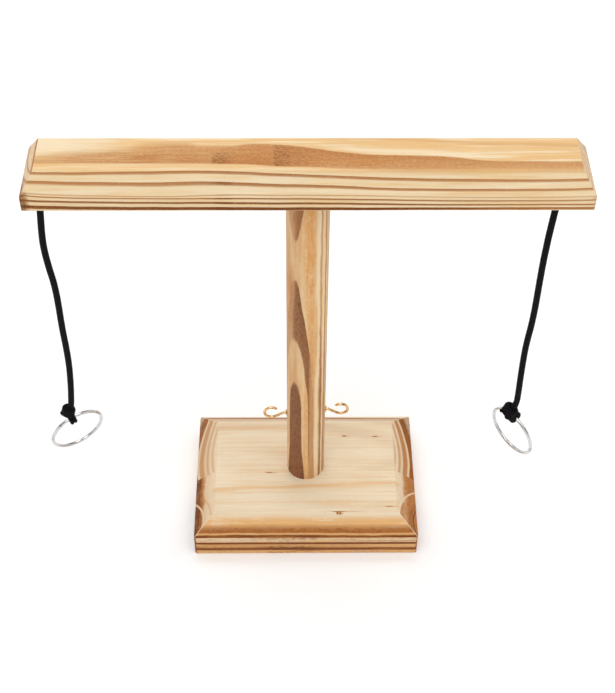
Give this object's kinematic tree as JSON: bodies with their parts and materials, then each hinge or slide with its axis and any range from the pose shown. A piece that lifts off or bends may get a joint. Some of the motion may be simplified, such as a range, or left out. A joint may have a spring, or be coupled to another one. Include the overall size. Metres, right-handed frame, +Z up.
{
  "type": "tabletop ring toss",
  "caption": "Tabletop ring toss: a T-shaped wooden stand with brass hooks on its post and metal rings hung on black cords from the crossbar, to be swung onto the hooks.",
  "frame": {"origin": "centre of the base's underside, on the table", "axes": "+Z up along the post; +X along the crossbar to the right of someone in front; the front looks to -Y"},
  "size_m": [0.3255, 0.105, 0.3035],
  "materials": {
    "pine": "sanded pine, lightly flame-burnt along the grain, clear matte",
    "brass": "bright brass plate",
    "steel": "zinc-plated screw",
    "nickel": "polished nickel plate",
    "cord": "black braided polyester cord"
  },
  "bodies": {
    "stand": {"base_board": "pine", "post": "pine", "crossbar": "pine", "base_screw": "steel", "crossbar_dowel_screw": "steel", "hook_left": "brass", "hook_right": "brass", "screw_eye_left": "brass", "screw_eye_right": "brass"},
    "eye_knot_left": {"eye_knot_left": "cord"},
    "cord_left": {"cord_left": "cord", "ring_knot_left": "cord"},
    "ring_left": {"ring_left": "nickel"},
    "eye_knot_right": {"eye_knot_right": "cord"},
    "cord_right": {"cord_right": "cord", "ring_knot_right": "cord"},
    "ring_right": {"ring_right": "nickel"}
  },
  "joints": [
    {"name": "left_swing", "type": "hinge", "parent": "stand", "child": "eye_knot_left", "pos_m": [-0.1505, 0, 0.2765], "axis": [0, 1, 0], "range_deg": [-28, 75]},
    {"name": "left_sway", "type": "hinge", "parent": "eye_knot_left", "child": "cord_left", "pos_m": [-0.1505, 0, 0.2654], "axis": [1, 0, 0], "range_deg": [-60, 60]},
    {"name": "left_ring_tilt", "type": "hinge", "parent": "cord_left", "child": "ring_left", "pos_m": [-0.1545, 0, 0.081], "axis": [0.8505, 0.4847, 0.2041], "range_deg": [-60, 60]},
    {"name": "right_swing", "type": "hinge", "parent": "stand", "child": "eye_knot_right", "pos_m": [0.14, 0, 0.2765], "axis": [0, 1, 0], "range_deg": [-75, 23]},
    {"name": "right_sway", "type": "hinge", "parent": "eye_knot_right", "child": "cord_right", "pos_m": [0.14, 0, 0.2654], "axis": [1, 0, 0], "range_deg": [-60, 60]},
    {"name": "right_ring_tilt", "type": "hinge", "parent": "cord_right", "child": "ring_right", "pos_m": [0.1378, 0, 0.081], "axis": [0.608, -0.7892, -0.0865], "range_deg": [-60, 60]}
  ]
}
